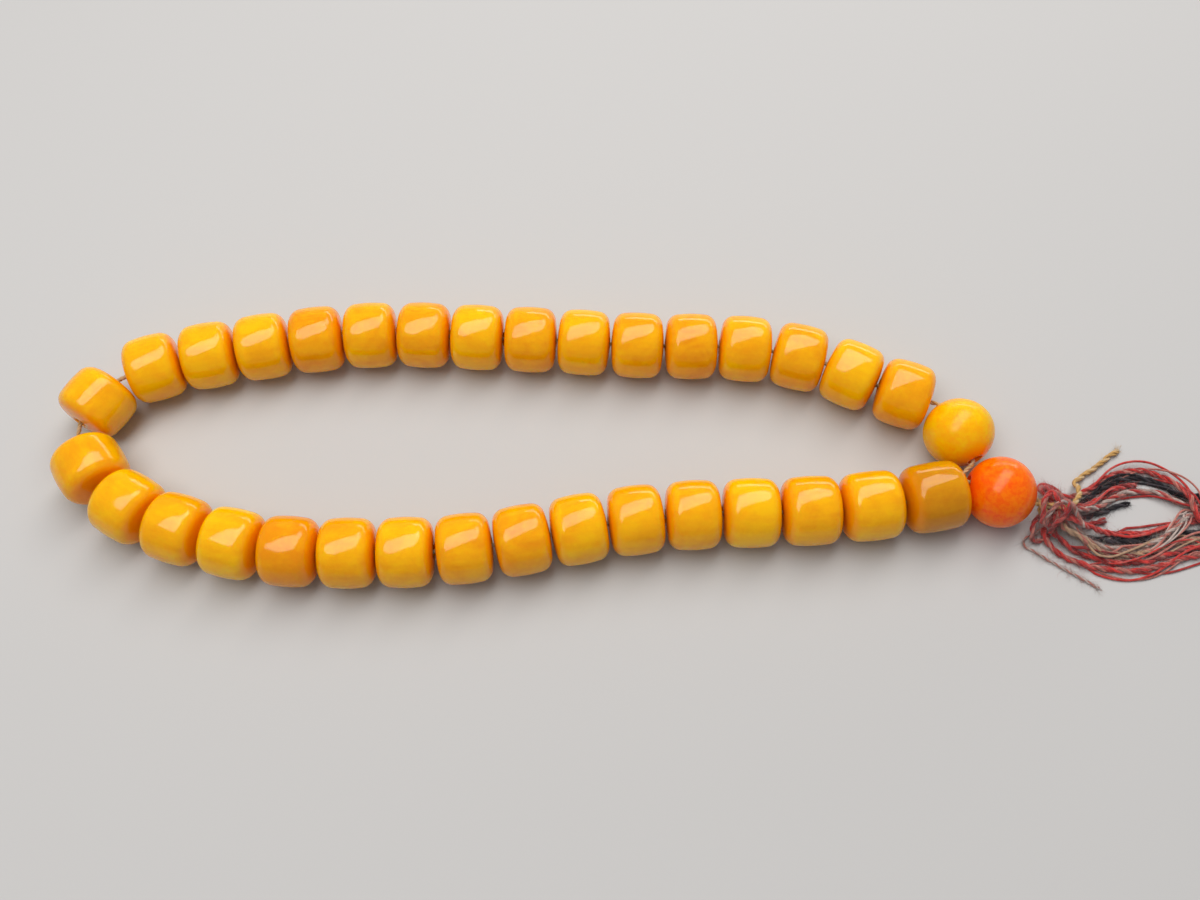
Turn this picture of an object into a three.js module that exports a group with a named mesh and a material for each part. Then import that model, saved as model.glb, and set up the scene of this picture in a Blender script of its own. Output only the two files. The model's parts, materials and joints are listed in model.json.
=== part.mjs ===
// A misbaha: thirty-three amber beads and a terminal bead on one knotted string, with a yarn tassel.
// It lies on a flat surface as a long loop. Millimetres, +Z up, floor at z = 0, origin at the middle
// of the bead loop on the floor.
import * as THREE from 'three';

// Beads. A diameter is measured across the flats of the turned outline.
const SIDES = 16;
const bead_count = 33;
const bead_diameter = 12.1;
const bead_length = 9.65;
const bead_bore = 2.2;
const bead_rim = 2.3;            // rounding between an end and the side
const bead_dome = 0.3;           // how far the middle of an end stands proud of its edge
const cut_longer = { 33: 1.1, 32: 0.8, 31: 0.5, 30: 0.3 };  // the beads that are longer, by number
const round_bead_diameter = 12.4;
const round_bead_length = 11.8;
const round_bead_bore = 2.4;
const round_bead_heading = 112;  // degrees, from its mouth beside the terminal bead to its other mouth
const terminal_diameter = 12.4;
const terminal_length = 11.6;
const terminal_bore = 3.2;
const terminal_heading = 166;    // degrees, from the tassel towards the loop
const terminal_side_step = -1.3; // its centre lies this far beside the line of the last barrel bead

// Clearances
const bead_gap = 0.15;           // between neighbours, where they come nearest
const nestle_gap = 0.3;          // between the round bead and the two beads that it lies against
const string_room = 0.4;         // more room between the round and terminal beads, for the string
const part_gap = 0.35;           // between the string or a strand and the knot that it enters
// Spare string between a bead and the one with the next lower number, where beads slide.
const slack = { 33: 0.3, 21: 0.2, 18: 0.6, 17: 0.2 };

// String and knots
const string_diameter = 0.8;
const string_spread = 0.65;      // half the distance between the two runs inside the terminal bead
const string_inset = 0.5;        // a run is straight from this far inside one mouth to the other
// Where the string turns between the terminal bead's inner mouth and the round bead's first one: how far
// outside the mouth each point lies, and how far to the left of the bore.
const turn_past_terminal = [{ outside: 0.95, left: -0.9 }, { outside: 0.5, left: -2.5 }];
const turn_into_round = { outside: 0.3, left: 0.6 };
const round_entry_left = 0.4;    // and how far it lies to the left just inside the round bead
const knot_diameter = 3.2;
const hitch_diameter = 4.2;
const hitch_thickness = 2.0;

// The line that the bores follow, from the last barrel bead's outer mouth along the near side, round the
// far end, and back along the other side to the round bead. It is scaled until the beads just fill it.
const loop_line = [
  [72.7, -10.3], [62, -12.3], [47, -13.9], [31.5, -14.3], [16.5, -15.4], [2, -18.2], [-12.8, -20.9],
  [-28, -21.4], [-43, -21.2], [-56, -18.6], [-67, -14.9], [-75.9, -8.6], [-81.1, 1.6], [-76.2, 11.0],
  [-66.2, 15.2], [-52.5, 18], [-39, 20.2], [-25, 21], [-11, 20.2], [3, 19.6], [18, 18.5], [33, 18.3],
  [46, 16.6], [56.5, 12.4], [64.6, 7.6],
];

// The tassel's points are measured from the terminal bead's outer mouth, on the floor.
const knot_place = [1.9, -0.6, 4.8];
const hitch_place = [4.6, -1.4, 3.5];

// Strands of yarn and loose ends: name, diameter, colour, and the points that each follows.
const strands = [
  { name: 'yarn_red_arc', diameter: 1.1, colour: 0x9c2a26, points: [
    [3.5, 1.3, 4.3], [2.6, 2.6, 3.6], [2.9, 4.0, 2.6], [4.4, 4.5, 1.8], [6.0, 3.7, 1.4], [7.6, 2.8, 1.0],
    [9.5, 2.9, 0.6], [11.6, 4.0, 0.6], [14.2, 5.5, 0.6], [17.0, 7.1, 0.6], [20.0, 7.9, 0.6],
    [23.2, 7.8, 0.6], [26.2, 6.5, 0.7], [28.3, 4.5, 1.3], [29.3, 2.2, 2.0], [29.5, 0.2, 2.1],
    [30.3, -1.7, 2.1], [32.0, -2.8, 2.0], [35.0, -2.6, 1.3], [38.0, -2.4, 0.7], [41.0, -2.4, 0.6],
    [44.0, -2.6, 0.6], [46.5, -2.9, 0.6]] },
  { name: 'yarn_black_arc', diameter: 0.9, colour: 0x26242a, points: [
    [5.9, -0.1, 2.2], [7.1, 0.3, 1.0], [8.5, 0.9, 0.5], [11.0, 2.1, 0.5], [14.0, 4.0, 0.5],
    [17.0, 5.7, 0.5], [20.0, 6.5, 0.5], [23.0, 6.3, 0.5], [26.0, 5.0, 0.5], [27.5, 3.9, 0.5],
    [29.0, 3.0, 0.5], [30.5, 2.7, 0.5], [32.0, 2.8, 0.5], [35.0, 3.2, 0.5], [38.0, 3.8, 0.5],
    [41.0, 4.2, 0.5]] },
  { name: 'yarn_red_upper', diameter: 1.1, colour: 0xa8302a, points: [
    [5.9, -0.1, 3.5], [7.2, 0.1, 3.0], [8.5, 0.4, 2.4], [9.8, 0.6, 1.8], [11.0, 0.9, 1.3],
    [12.5, 1.7, 0.8], [14.0, 2.6, 0.6], [17.0, 4.4, 0.6], [19.0, 5.0, 0.6], [20.8, 5.1, 0.6]] },
  { name: 'yarn_red_inner', diameter: 1.1, colour: 0xb2453c, points: [
    [5.9, -1.4, 4.8], [8.5, -0.8, 3.8], [11.0, -0.1, 2.5], [12.5, 0.4, 1.6], [14.0, 1.2, 0.9],
    [17.0, 3.0, 0.6], [20.0, 3.8, 0.6], [23.0, 3.9, 0.6], [26.0, 2.9, 0.6], [29.0, 1.3, 0.6],
    [32.0, 1.0, 0.6], [35.0, 1.4, 0.6], [38.0, 1.9, 0.6], [41.0, 2.3, 0.6], [44.0, 2.6, 0.6]] },
  { name: 'yarn_black_short', diameter: 0.9, colour: 0x26242a, points: [
    [5.9, -1.4, 2.2], [7.2, -1.4, 1.2], [8.5, -1.3, 0.6], [11.0, -0.9, 0.5], [14.0, 0.0, 0.5],
    [17.0, 1.2, 0.5], [19.0, 1.6, 0.5]] },
  { name: 'yarn_red_stub', diameter: 1.1, colour: 0x962622, points: [
    [6.0, -1.4, 3.5], [7.2, -1.8, 2.9], [8.5, -2.3, 2.2], [10.5, -2.6, 1.2], [12.5, -2.2, 0.7],
    [14.1, -1.5, 0.6]] },
  { name: 'yarn_red_top', diameter: 1.1, colour: 0xc0282a, points: [
    [5.9, -2.7, 4.8], [8.5, -3.4, 3.8], [11.0, -3.8, 2.4], [12.5, -4.0, 1.5], [14.0, -4.1, 0.9],
    [17.0, -4.2, 0.6], [20.0, -4.1, 0.6], [23.0, -3.5, 0.6], [26.0, -2.7, 0.6], [29.0, -2.0, 0.6],
    [32.0, -1.4, 0.6], [35.0, -1.0, 0.6], [38.0, -0.8, 0.6], [41.0, -0.6, 0.6], [44.0, -0.4, 0.6],
    [46.0, -0.4, 0.6]] },
  { name: 'yarn_black_low', diameter: 0.9, colour: 0x2c2a30, points: [
    [5.9, -2.7, 2.2], [7.1, -3.2, 1.2], [8.5, -3.9, 0.6], [11.0, -4.9, 0.5], [14.0, -5.5, 0.5],
    [17.0, -5.6, 0.5], [20.0, -5.4, 0.5], [23.0, -4.9, 0.5], [26.0, -4.3, 0.5], [29.0, -3.8, 0.5],
    [32.0, -3.8, 0.5], [35.0, -4.0, 0.5], [38.0, -4.1, 0.5], [41.0, -4.2, 0.5], [44.0, -4.3, 0.5]] },
  { name: 'yarn_white_low', diameter: 0.8, colour: 0xb9a79c, points: [
    [5.9, -2.7, 3.5], [7.2, -3.5, 2.9], [8.5, -4.4, 2.1], [11.0, -5.9, 1.0], [14.0, -6.7, 0.5],
    [17.0, -6.7, 0.5], [20.0, -6.4, 0.7], [21.5, -6.0, 1.2], [23.0, -5.2, 1.7], [24.5, -4.2, 1.8],
    [26.0, -3.1, 1.9], [27.5, -1.9, 1.7], [29.0, -0.7, 0.9], [32.0, -0.2, 0.5], [35.0, 0.1, 0.5],
    [38.0, 0.4, 0.5], [41.0, 0.7, 0.5]] },
  { name: 'yarn_beige', diameter: 1.1, colour: 0xc29a80, points: [
    [5.5, -4.0, 3.4], [7.0, -4.8, 3.0], [8.5, -5.6, 2.6], [11.0, -7.1, 1.6], [12.5, -7.7, 1.0],
    [14.0, -8.0, 0.6], [17.0, -8.0, 0.6], [20.0, -7.7, 0.6], [23.0, -6.8, 0.6], [26.0, -5.8, 0.6],
    [29.0, -5.2, 0.6], [32.0, -5.2, 0.6], [35.0, -5.4, 0.6], [38.0, -5.5, 0.6], [41.0, -5.6, 0.6]] },
  { name: 'yarn_red_low', diameter: 1.1, colour: 0xa82c28, points: [
    [4.1, -4.4, 2.2], [5.4, -5.7, 1.5], [7.0, -6.9, 0.9], [9.0, -8.0, 0.6], [11.0, -8.7, 0.6],
    [14.0, -9.4, 0.6], [17.0, -9.5, 0.6], [20.0, -9.2, 0.6], [23.0, -8.3, 0.6], [26.0, -7.3, 0.6],
    [29.0, -6.7, 0.6], [32.0, -6.7, 0.6], [35.0, -6.9, 0.6], [38.0, -7.1, 0.6], [41.0, -7.2, 0.6],
    [43.0, -7.3, 0.6]] },
  { name: 'yarn_red_outer', diameter: 1.1, colour: 0xb83a34, points: [
    [2.6, -4.0, 1.6], [3.0, -5.6, 1.0], [4.4, -7.3, 0.7], [6.2, -8.7, 0.6], [8.5, -9.7, 0.6],
    [11.0, -10.4, 0.6], [14.0, -10.9, 0.6], [17.0, -11.0, 0.6], [20.0, -10.6, 0.6],
    [23.0, -9.8, 0.6], [26.0, -8.8, 0.6], [29.0, -8.2, 0.6], [32.0, -8.2, 0.6], [35.0, -8.5, 0.6],
    [38.0, -8.8, 0.6], [41.0, -9.0, 0.6]] },
  { name: 'yarn_white_thread', diameter: 0.5, colour: 0xd8b9a8, points: [
    [1.3, -4.2, 0.9], [0.2, -4.6, 0.5], [-0.8, -5.4, 0.3], [-0.6, -6.4, 0.3], [0.8, -7.3, 0.3],
    [2.6, -8.6, 0.3], [4.6, -10.0, 0.3], [6.8, -11.4, 0.3], [9.0, -12.8, 0.3], [10.9, -14.1, 0.3]] },
  { name: 'string_tail', diameter: 1.0, colour: 0xd9a741, points: [
    [3.3, -1.2, 6.5], [4.6, -1.5, 6.5], [6.0, -1.3, 6.3], [7.6, 0.2, 5.6], [8.8, 1.9, 4.4],
    [9.3, 3.6, 3.1], [9.5, 5.0, 1.9], [10.9, 6.4, 1.0], [12.9, 7.7, 0.7], [15.0, 9.2, 0.6],
    [17.0, 10.7, 0.6], [18.9, 12.0, 0.6]] },
];

const radians = THREE.MathUtils.degToRad;
const flat_share = Math.cos(Math.PI / SIDES);

function direction(degrees) {
  return new THREE.Vector2(Math.cos(radians(degrees)), Math.sin(radians(degrees)));
}

function leftOf(vector) {
  return new THREE.Vector2(-vector.y, vector.x);
}

// Half of an outline, from the mouth of the bore to the middle of the side, as distances along the axis
// and radii.
function barrelOutline(number) {
  const half = (bead_length + (cut_longer[number] ?? 0)) / 2;
  const face = half - bead_dome;
  const rim_line = bead_diameter / 2 - bead_rim;
  const bend = bead_rim * Math.SQRT1_2;
  return [
    { along: half, radius: bead_bore / 2 },
    { along: face, radius: rim_line },
    { along: face - bead_rim + bend, radius: rim_line + bend },
    { along: face - bead_rim, radius: bead_diameter / 2 },
  ];
}

function roundOutline(length, diameter, bore) {
  const mouth = Math.asin(bore / diameter);
  const stretch = length / 2 / Math.cos(mouth);
  const last = radians(81);
  const steps = 4;
  return Array.from({ length: steps + 1 }, (_, step) => {
    const angle = THREE.MathUtils.lerp(mouth, last, step / steps);
    const radius = step < steps ? diameter / 2 * Math.sin(angle) : diameter / 2;
    return { along: stretch * Math.cos(angle), radius };
  });
}

// How far a bead stands past the middle of its mouth, towards a neighbour, when it leans by an angle.
function reach(outline, lean) {
  const stands = outline.map(({ along, radius }) => {
    return radius / flat_share * Math.sin(lean) - (outline[0].along - along) * Math.cos(lean);
  });
  return Math.max(0, ...stands);
}

// How far a bead reaches from its centre, in a direction at an angle to its axis.
function support(outline, angle) {
  return Math.max(...outline.map(({ along, radius }) => {
    return along * Math.cos(angle) + radius / flat_share * Math.sin(angle);
  }));
}

function angleBetween(a, b) {
  return Math.acos(THREE.MathUtils.clamp(a.dot(b), -1, 1));
}

// A bead's place: the middles of its two mouths, its axis and its height.
function placeBetween(name, outline, first, second, height) {
  const axis = second.clone().sub(first).normalize();
  const centre = first.clone().add(second).multiplyScalar(0.5);
  return { name, outline, first, second, axis, centre, height };
}

function placeAt(name, outline, centre, axis, height) {
  const half = axis.clone().multiplyScalar(outline[0].along);
  return placeBetween(name, outline, centre.clone().sub(half), centre.clone().add(half), height);
}

function beadName(number) {
  return 'bead_' + String(number).padStart(2, '0');
}

// The point further along a line that lies one straight chord away.
function advance(line, from, chord) {
  const start = line.getPoint(from);
  let near = from;
  let far = Math.min(1, from + 0.12);
  for (let round = 0; round < 40; round += 1) {
    const middle = (near + far) / 2;
    if (line.getPoint(middle).distanceTo(start) < chord) {
      near = middle;
    } else {
      far = middle;
    }
  }
  return near;
}

// The centre that is one distance from a first point and another from a second, on the left of the way
// from the first to the second.
function centreFromTwo(first, first_distance, second, second_distance) {
  const apart = first.distanceTo(second);
  const towards = second.clone().sub(first).divideScalar(apart);
  const along = (apart ** 2 + first_distance ** 2 - second_distance ** 2) / (2 * apart);
  const across = Math.sqrt(first_distance ** 2 - along ** 2);
  return first.clone().addScaledVector(towards, along).addScaledVector(leftOf(towards), across);
}

function placeTerminal(last_bead, outline) {
  const inward = direction(terminal_heading);
  const outward = last_bead.axis.clone().negate();
  const lean = angleBetween(inward, last_bead.axis);
  const centre = last_bead.first.clone()
    .addScaledVector(outward, bead_gap + support(outline, lean))
    .addScaledVector(leftOf(outward), terminal_side_step);
  return placeAt('terminal_bead', outline, centre, inward, terminal_diameter / 2);
}

// The round bead lies in the notch between the terminal bead and the last barrel bead.
function placeRoundBead(last_bead, terminal, outline) {
  const outward = last_bead.axis.clone().negate();
  const rim_centre = last_bead.first.clone()
    .addScaledVector(outward, -bead_dome - bead_rim)
    .addScaledVector(leftOf(outward), bead_diameter / 2 / flat_share - bead_rim);
  const axis = direction(round_bead_heading);
  const rim_distance = bead_rim + round_bead_diameter / 2 / flat_share + nestle_gap;
  let towards = leftOf(outward);
  let centre;
  for (let round = 0; round < 8; round += 1) {
    const terminal_distance = nestle_gap + string_room
      + support(terminal.outline, angleBetween(towards, terminal.axis))
      + support(outline, angleBetween(towards, axis));
    centre = centreFromTwo(rim_centre, rim_distance, terminal.centre, terminal_distance);
    towards = centre.clone().sub(terminal.centre).normalize();
  }
  return placeAt('bead_01_round', outline, centre, axis, round_bead_diameter / 2);
}

// Fills the line with barrel beads, from the last one back to bead 2.
function fillLine(scale, round_bead) {
  const anchor = new THREE.Vector2(...loop_line[0]);
  const points = loop_line.map(([x, y]) => {
    return new THREE.Vector2(x, y).sub(anchor).multiplyScalar(scale).add(anchor);
  });
  if (round_bead) {
    points.push(round_bead.second, round_bead.centre, round_bead.first);
  }
  const line = new THREE.SplineCurve(points);
  const beads = [];
  let place = 0;
  for (let number = bead_count; number > 1; number -= 1) {
    const before = beads[beads.length - 1];
    const outline = barrelOutline(number);
    let turn = 0;
    let bead;
    let start;
    for (let round = 0; round < 6; round += 1) {
      const gap = bead_gap + 2 * reach(outline, turn / 2) + (slack[number + 1] ?? 0);
      start = before ? advance(line, place, gap) : 0;
      const end = advance(line, start, 2 * outline[0].along);
      const [first, second] = [line.getPoint(start), line.getPoint(end)];
      bead = placeBetween(beadName(number), outline, first, second, bead_diameter / 2);
      bead.end = end;
      turn = before ? angleBetween(before.axis, bead.axis) : 0;
    }
    beads.push(bead);
    place = bead.end;
  }
  return { line, beads, place };
}

// The string left over between bead 2 and the round bead, more than the turn there needs.
function leftOver(scale, round_bead) {
  const { line, beads, place } = fillLine(scale, round_bead);
  const last = beads[beads.length - 1];
  const mouth = 1 - 2 / (loop_line.length + 2);
  const lean = angleBetween(last.axis, round_bead.axis.clone().negate()) / 2;
  const needed = bead_gap + reach(last.outline, lean) + reach(round_bead.outline, lean);
  const distance = line.getPoint(place).distanceTo(line.getPoint(mouth));
  return (place < mouth ? distance : -distance) - needed;
}

function placeBeads() {
  const last_bead = fillLine(1).beads[0];
  const terminal_outline = roundOutline(terminal_length, terminal_diameter, terminal_bore);
  const round_outline = roundOutline(round_bead_length, round_bead_diameter, round_bead_bore);
  const terminal = placeTerminal(last_bead, terminal_outline);
  const round_bead = placeRoundBead(last_bead, terminal, round_outline);
  let [low, high] = [0.5, 2];
  for (let round = 0; round < 40; round += 1) {
    const middle = (low + high) / 2;
    if (leftOver(middle, round_bead) < 0) {
      low = middle;
    } else {
      high = middle;
    }
  }
  const barrels = fillLine(high, round_bead).beads.reverse();
  return { terminal, round_bead, barrels };
}

function turnedGeometry(outline) {
  const lower = outline.map(({ along, radius }) => new THREE.Vector2(radius / flat_share, -along));
  const upper = outline.map(({ along, radius }) => new THREE.Vector2(radius / flat_share, along));
  const closed = [...lower, ...upper.reverse(), lower[0].clone()];
  const geometry = new THREE.LatheGeometry(closed, SIDES, Math.PI / SIDES);
  return geometry.rotateZ(-Math.PI / 2);
}

// A curve whose steps fall on its own points.
class PointCurve extends THREE.CatmullRomCurve3 {
  getUtoTmapping(share) {
    return share;
  }
}

function tubeGeometry(points, diameter, steps_between) {
  const sides = 8;
  const section = new THREE.Shape(Array.from({ length: sides }, (_, side) => {
    const angle = 2 * Math.PI * side / sides;
    return new THREE.Vector2(Math.cos(angle), Math.sin(angle)).multiplyScalar(diameter / 2);
  }));
  const extrudePath = new PointCurve(points, false, 'centripetal');
  const steps = (points.length - 1) * steps_between;
  return new THREE.ExtrudeGeometry(section, { steps, extrudePath, bevelEnabled: false });
}

// A lumpy knot: a ball with its ends drawn in.
function knotGeometry(diameter, thickness) {
  const rings = 8;
  const outline = Array.from({ length: rings + 1 }, (_, ring) => {
    const angle = Math.PI * ring / rings;
    return new THREE.Vector2(diameter / 2 * Math.sin(angle), -thickness / 2 * Math.cos(angle));
  });
  outline[0].x = 0;
  outline[rings].x = 0;
  return new THREE.LatheGeometry(outline, 12).rotateZ(-Math.PI / 2);
}

function namedMesh(name, geometry, colour, roughness) {
  const material = new THREE.MeshStandardMaterial({ color: colour, roughness, metalness: 0 });
  const mesh = new THREE.Mesh(geometry, material);
  mesh.name = name;
  return mesh;
}

function beadMesh(place, colour) {
  const mesh = namedMesh(place.name, turnedGeometry(place.outline), colour, 0.25);
  mesh.position.set(place.centre.x, place.centre.y, place.height);
  mesh.rotation.z = place.axis.angle();
  return mesh;
}

// A point beside a mouth, so far towards the bead's middle and so far to the left of its axis.
function besideMouth(place, mouth, inset, sideways) {
  const inward = place.centre.clone().sub(mouth).normalize();
  const point = mouth.clone()
    .addScaledVector(inward, inset)
    .addScaledVector(leftOf(place.axis), sideways);
  return new THREE.Vector3(point.x, point.y, place.height);
}

// Where the string meets the knot: on the straight way from a mouth to the knot's middle.
function enterKnot(from, knot_centre) {
  const away = from.clone().sub(knot_centre).normalize();
  return knot_centre.clone().addScaledVector(away, knot_diameter / 2 + part_gap);
}

function stringPoints({ terminal, round_bead, barrels }, knot_centre) {
  const spread = -string_spread;
  const upper_out = besideMouth(terminal, terminal.first, 0, spread);
  const lower_out = besideMouth(terminal, terminal.first, 0, -spread);
  const points = [
    enterKnot(upper_out, knot_centre),
    besideMouth(terminal, terminal.first, string_inset, spread),
    besideMouth(terminal, terminal.second, string_inset, spread),
    ...turn_past_terminal.map(({ outside, left }) => {
      return besideMouth(terminal, terminal.second, -outside, left);
    }),
    besideMouth(round_bead, round_bead.first, -turn_into_round.outside, turn_into_round.left),
    besideMouth(round_bead, round_bead.first, string_inset, round_entry_left),
    besideMouth(round_bead, round_bead.second, string_inset, 0),
  ];
  for (const bead of barrels) {
    points.push(besideMouth(bead, bead.second, string_inset, 0));
    points.push(besideMouth(bead, bead.first, string_inset, 0));
  }
  points.push(
    besideMouth(terminal, terminal.second, string_inset, -spread),
    besideMouth(terminal, terminal.first, string_inset, -spread),
    enterKnot(lower_out, knot_centre),
  );
  return points;
}

function makeTassel(tassel_origin) {
  const tassel = new THREE.Group();
  tassel.position.copy(tassel_origin);
  const knot = namedMesh('string_knot', knotGeometry(knot_diameter, knot_diameter), 0xd9a741, 0.8);
  knot.position.set(...knot_place);
  const hitch = namedMesh('yarn_hitch', knotGeometry(hitch_diameter, hitch_thickness), 0x8f2a26, 0.9);
  hitch.position.set(...hitch_place);
  tassel.add(knot, hitch);
  for (const { name, diameter, colour, points } of strands) {
    const route = points.map((point) => new THREE.Vector3(...point));
    tassel.add(namedMesh(name, tubeGeometry(route, diameter, 1), colour, 0.95));
  }
  return tassel;
}

function makeMisbaha() {
  const places = placeBeads();
  const { terminal, round_bead, barrels } = places;
  const beads = new THREE.Group();
  beads.add(beadMesh(round_bead, 0xffa500));
  for (const bead of barrels) {
    beads.add(beadMesh(bead, 0xe8a412));
  }
  beads.add(beadMesh(terminal, 0xf06408));
  beads.updateMatrixWorld(true);
  const middle = new THREE.Box3().setFromObject(beads, true).getCenter(new THREE.Vector3());

  const tassel_origin = new THREE.Vector3(terminal.first.x, terminal.first.y, 0);
  const knot_centre = tassel_origin.clone().add(new THREE.Vector3(...knot_place));
  const string_geometry = tubeGeometry(stringPoints(places, knot_centre), string_diameter, 1);
  const string = namedMesh('string', string_geometry, 0xd9a741, 0.8);

  const misbaha = new THREE.Group();
  misbaha.position.set(-middle.x, -middle.y, 0);
  misbaha.add(beads, string, makeTassel(tassel_origin));
  return misbaha;
}

export default makeMisbaha();
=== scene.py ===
"""A misbaha laid out as a loop: barrel beads of amber resin, a round bead, a terminal bead and a yarn tassel.

Metres, +Z up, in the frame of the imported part. The beads' places come from the part; the strands' routes
are the part's own.
"""
import json
import math
import random

import bpy
from mathutils import Matrix, Vector, noise


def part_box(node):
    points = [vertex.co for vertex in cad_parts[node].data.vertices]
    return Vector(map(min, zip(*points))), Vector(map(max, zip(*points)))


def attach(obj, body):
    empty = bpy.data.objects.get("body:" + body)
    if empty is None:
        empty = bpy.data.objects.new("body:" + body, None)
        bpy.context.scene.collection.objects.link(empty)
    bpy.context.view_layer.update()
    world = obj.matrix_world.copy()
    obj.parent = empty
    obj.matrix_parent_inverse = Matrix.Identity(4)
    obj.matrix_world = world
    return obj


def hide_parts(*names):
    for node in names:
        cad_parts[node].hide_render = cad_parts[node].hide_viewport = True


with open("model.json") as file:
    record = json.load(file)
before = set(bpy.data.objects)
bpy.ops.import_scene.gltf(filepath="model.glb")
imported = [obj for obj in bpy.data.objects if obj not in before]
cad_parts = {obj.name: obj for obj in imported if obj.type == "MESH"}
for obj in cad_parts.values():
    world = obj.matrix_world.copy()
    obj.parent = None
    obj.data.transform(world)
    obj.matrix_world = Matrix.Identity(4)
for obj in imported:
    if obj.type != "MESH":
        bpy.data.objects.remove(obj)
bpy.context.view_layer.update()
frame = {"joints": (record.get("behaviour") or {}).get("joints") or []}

MM = 0.001

# Sizes of the beads, as in the part. CUT_LONGER is for the beads, by number, that are longer than the rest.
BARREL_LENGTH = 9.65 * MM
BARREL_DIAMETER = 12.1 * MM
BARREL_BORE = 2.2 * MM
BARREL_RIM = 2.3 * MM
BARREL_DOME = 0.3 * MM
CUT_LONGER = {33: 1.1 * MM, 32: 0.8 * MM, 31: 0.5 * MM, 30: 0.3 * MM}
ROUND_LENGTH = 11.8 * MM
ROUND_DIAMETER = 12.4 * MM
ROUND_BORE = 2.4 * MM
TERMINAL_LENGTH = 11.6 * MM
TERMINAL_DIAMETER = 12.4 * MM
TERMINAL_BORE = 3.2 * MM

# Finer shape of the beads, in the visual model alone
BARREL_FALL = 0.13 * MM  # how much narrower a barrel is where its rim begins than at its middle
BARREL_MOUTH_ROUND = 0.35 * MM
BARREL_MOUTH_DIP = 0.03 * MM
ROUND_MOUTH_DEPTH = 0.45 * MM
ROUND_MOUTH_LIP = 0.06 * MM
BEAD_SIDES = 72

# String and knots, as in the part. Places are measured from the terminal bead's outer mouth, on the floor.
STRING_DIAMETER = 0.8 * MM
STRING_SPREAD = 0.65 * MM
STRING_INSET = 0.5 * MM
KNOT_DIAMETER = 3.2 * MM
KNOT_PLACE = Vector((1.9, -0.6, 4.8)) * MM
HITCH_PLACE = Vector((4.6, -1.4, 3.5)) * MM

# Fibres and plies
STRAND_STEP = 0.22 * MM
PLY_SIDES = 8
STRAY_SIDES = 6
STRAY_LIFT = 0.22 * MM  # the lowest that a stray ply's middle comes
FRAY_LENGTH = 3.0 * MM
FIBRE_PARTS = 5
FIBRE_SIDES = 3
FIBRE_LIFT = 0.05 * MM
HAIR_RADIUS = 0.022 * MM
KNOT_FIBRE_RADIUS = 0.025 * MM
END_FIBRE_RADIUS = 0.03 * MM

scene = bpy.context.scene
scene.view_settings.view_transform = "Standard"
scene.view_settings.look = "None"


# ---------------------------------------------------------------- camera

ELEVATION = math.radians(64.65)
DISTANCE = 0.2121
LOOK_AT = Vector((0.01072, 0.00073, 0.0))

camera_data = bpy.data.cameras.new("camera")
camera_data.lens = 35.0
camera_data.sensor_width = 36.0
camera = bpy.data.objects.new("camera", camera_data)
camera.location = LOOK_AT + DISTANCE * Vector((0, -math.cos(ELEVATION), math.sin(ELEVATION)))
camera.rotation_euler = (math.pi / 2 - ELEVATION, 0, 0)
scene.collection.objects.link(camera)
scene.camera = camera


# ---------------------------------------------------------------- curves and meshes

def catmull_point(before, start, end, after, share):
    """A point on the centripetal Catmull-Rom stretch from start to end."""
    times = [0.0]
    for a, b in ((before, start), (start, end), (end, after)):
        times.append(times[-1] + max(math.sqrt((b - a).length), 1e-9))
    t = times[1] + (times[2] - times[1]) * share

    def between(a, b, low, high):
        return a * ((high - t) / (high - low)) + b * ((t - low) / (high - low))

    a1 = between(before, start, times[0], times[1])
    a2 = between(start, end, times[1], times[2])
    a3 = between(end, after, times[2], times[3])
    b1 = between(a1, a2, times[0], times[2])
    b2 = between(a2, a3, times[1], times[3])
    return between(b1, b2, times[1], times[2])


def even_line(points, step):
    """The same line cut into even steps."""
    gathered = [0.0]
    for a, b in zip(points, points[1:]):
        gathered.append(gathered[-1] + (b - a).length)
    total = gathered[-1]
    count = max(2, round(total / step))
    line = []
    stretch = 0
    for index in range(count + 1):
        wanted = total * index / count
        while stretch < len(points) - 2 and gathered[stretch + 1] < wanted:
            stretch += 1
        span = gathered[stretch + 1] - gathered[stretch]
        share = (wanted - gathered[stretch]) / span if span else 0.0
        line.append(points[stretch].lerp(points[stretch + 1], min(max(share, 0.0), 1.0)))
    return line


def smooth_line(points, step):
    """A smooth line through the points, in even steps."""
    cuts = 12
    extended = [points[0] * 2 - points[1], *points, points[-1] * 2 - points[-2]]
    fine = []
    for index in range(len(points) - 1):
        for cut in range(cuts):
            fine.append(catmull_point(*extended[index:index + 4], cut / cuts))
    fine.append(points[-1].copy())
    return even_line(fine, step)


def line_length(line):
    return sum((b - a).length for a, b in zip(line, line[1:]))


def frames_along(line):
    """A pair of side directions at each point, turned as little as possible from point to point."""
    tangents = []
    for index in range(len(line)):
        ahead = line[min(index + 1, len(line) - 1)]
        behind = line[max(index - 1, 0)]
        tangents.append((ahead - behind).normalized())
    side = tangents[0].orthogonal().normalized()
    frames = []
    for tangent in tangents:
        side = (side - tangent * side.dot(tangent)).normalized()
        frames.append((side, tangent.cross(side)))
    return frames


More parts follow.
